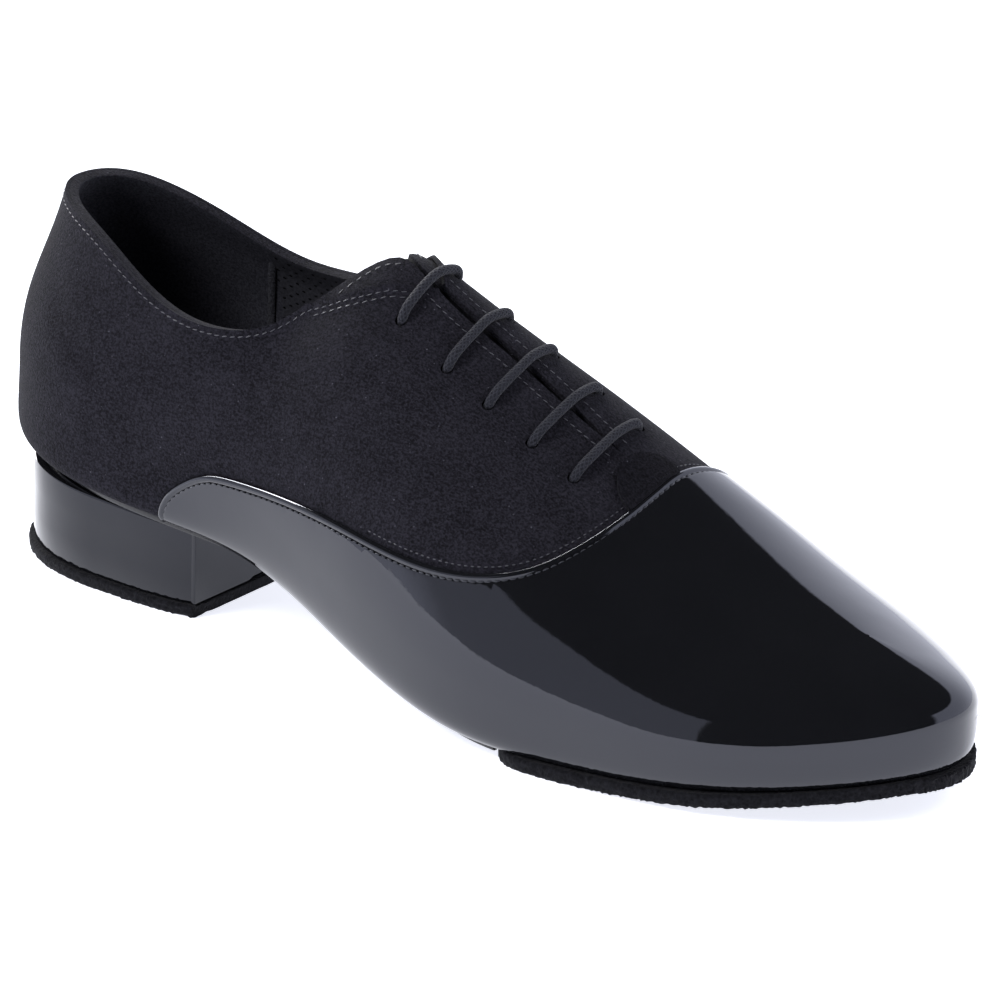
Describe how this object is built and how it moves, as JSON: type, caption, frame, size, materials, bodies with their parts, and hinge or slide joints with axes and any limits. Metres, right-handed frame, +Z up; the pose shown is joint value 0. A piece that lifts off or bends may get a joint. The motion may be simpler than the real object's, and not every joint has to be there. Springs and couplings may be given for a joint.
{
  "type": "ballroom dance shoe",
  "caption": "Laced black ballroom dance shoe: nubuck quarters, glossy patent vamp with long wings, suede dance sole and a low covered block heel.",
  "frame": {"origin": "the middle of the heel tip's flat underside, on the floor", "axes": "+X runs along the shoe to the toe, +Y to the inner side (towards the other foot) and +Z up"},
  "size_m": [0.2879, 0.0989, 0.1005],
  "materials": {
    "nubuck": "matte black nubuck with a fine nap",
    "patent": "black patent leather, mirror gloss",
    "suede": "black suede with a raised, fuzzy nap",
    "lining": "smooth black lining leather",
    "waist": "smooth black sole leather, low gloss",
    "lace": "round woven waxed cord, dark grey"
  },
  "bodies": {
    "root": {"upper": "nubuck", "vamp": "patent", "throat_tab": "suede", "tongue": "nubuck", "insole": "lining", "waist_sole": "waist", "forepart_sole": "suede", "heel": "patent", "heel_tip": "suede", "lace_bar_1": "lace", "lace_bar_2": "lace", "lace_bar_3": "lace", "lace_bar_4": "lace", "lace_bar_5": "lace"}
  },
  "joints": []
}
